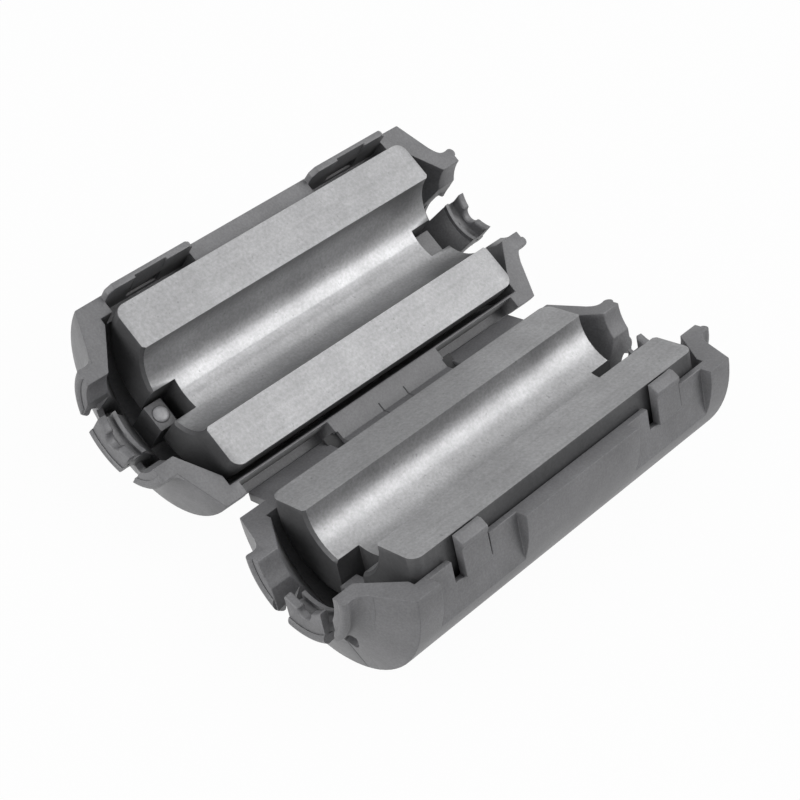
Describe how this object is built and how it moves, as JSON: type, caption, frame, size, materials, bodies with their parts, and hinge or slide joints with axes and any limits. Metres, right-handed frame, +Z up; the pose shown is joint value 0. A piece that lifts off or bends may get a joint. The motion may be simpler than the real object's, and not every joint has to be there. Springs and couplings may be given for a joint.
{
  "type": "clip-on ferrite core",
  "caption": "Split ferrite sleeve in a hinged plastic clip case, lying open; it snaps round a cable to damp high-frequency noise.",
  "frame": {"origin": "on the floor, midway between the two halves and midway along the case", "axes": "+Y along the cable and the hinge line, +X from half A to half B, +Z up"},
  "size_m": [0.0242, 0.0262, 0.0094],
  "materials": {
    "case_plastic": "dark grey moulded nylon with a fine satin grain",
    "ferrite": "sintered grey ferrite, ground on the mating faces"
  },
  "bodies": {
    "half_a": {"case_half_a": "case_plastic", "hinge_web": "case_plastic"},
    "half_b": {"case_half_b": "case_plastic"},
    "core_a": {"ferrite_a": "ferrite"},
    "core_b": {"ferrite_b": "ferrite"},
    "hook_near": {"latch_hook_near": "case_plastic"},
    "hook_far": {"latch_hook_far": "case_plastic"},
    "finger_a_near": {"grip_finger_a_near": "case_plastic"},
    "finger_a_far": {"grip_finger_a_far": "case_plastic"},
    "finger_b_near": {"grip_finger_b_near": "case_plastic"},
    "finger_b_far": {"grip_finger_b_far": "case_plastic"}
  },
  "joints": [
    {"name": "case_hinge", "type": "hinge", "parent": "half_a", "child": "half_b", "pos_m": [0, 0, 0.00353], "axis": [0, -1, 0], "range_deg": [-45.86, 134], "deforming": ["hinge_web"]},
    {"name": "core_a_float", "type": "slide", "parent": "half_a", "child": "core_a", "axis": [0.3896, 0, 0.921], "range_m": [-0.0009, 0.00031]},
    {"name": "core_b_float", "type": "slide", "parent": "half_b", "child": "core_b", "axis": [-0.3896, 0, 0.921], "range_m": [-0.0009, 0.00031]},
    {"name": "hook_near_flex", "type": "hinge", "parent": "half_b", "child": "hook_near", "pos_m": [0.01122, -0.00693, 0.00697], "axis": [0, -1, 0], "range_deg": [0, 3.6], "stiffness_Nm_per_rad": 0.015},
    {"name": "hook_far_flex", "type": "hinge", "parent": "half_b", "child": "hook_far", "pos_m": [0.01122, 0.00693, 0.00697], "axis": [0, -1, 0], "range_deg": [0, 3.6], "stiffness_Nm_per_rad": 0.015},
    {"name": "finger_a_near_flex", "type": "hinge", "parent": "half_a", "child": "finger_a_near", "pos_m": [-0.0084, -0.01082, 0.00048], "axis": [0.921, 0, -0.3896], "range_deg": [0, 8], "stiffness_Nm_per_rad": 0.04},
    {"name": "finger_a_far_flex", "type": "hinge", "parent": "half_a", "child": "finger_a_far", "pos_m": [-0.0084, 0.01082, 0.00048], "axis": [-0.921, 0, 0.3896], "range_deg": [0, 8], "stiffness_Nm_per_rad": 0.04},
    {"name": "finger_b_near_flex", "type": "hinge", "parent": "half_b", "child": "finger_b_near", "pos_m": [0.0084, -0.01082, 0.00048], "axis": [0.921, 0, 0.3896], "range_deg": [0, 8], "stiffness_Nm_per_rad": 0.04},
    {"name": "finger_b_far_flex", "type": "hinge", "parent": "half_b", "child": "finger_b_far", "pos_m": [0.0084, 0.01082, 0.00048], "axis": [-0.921, 0, -0.3896], "range_deg": [0, 8], "stiffness_Nm_per_rad": 0.04}
  ],
  "couplings": [
    {"joint": "case_hinge", "follows": "core_a_float", "rad_per_m": -2601.2},
    {"joint": "core_b_float", "follows": "core_a_float", "ratio": 1}
  ]
}
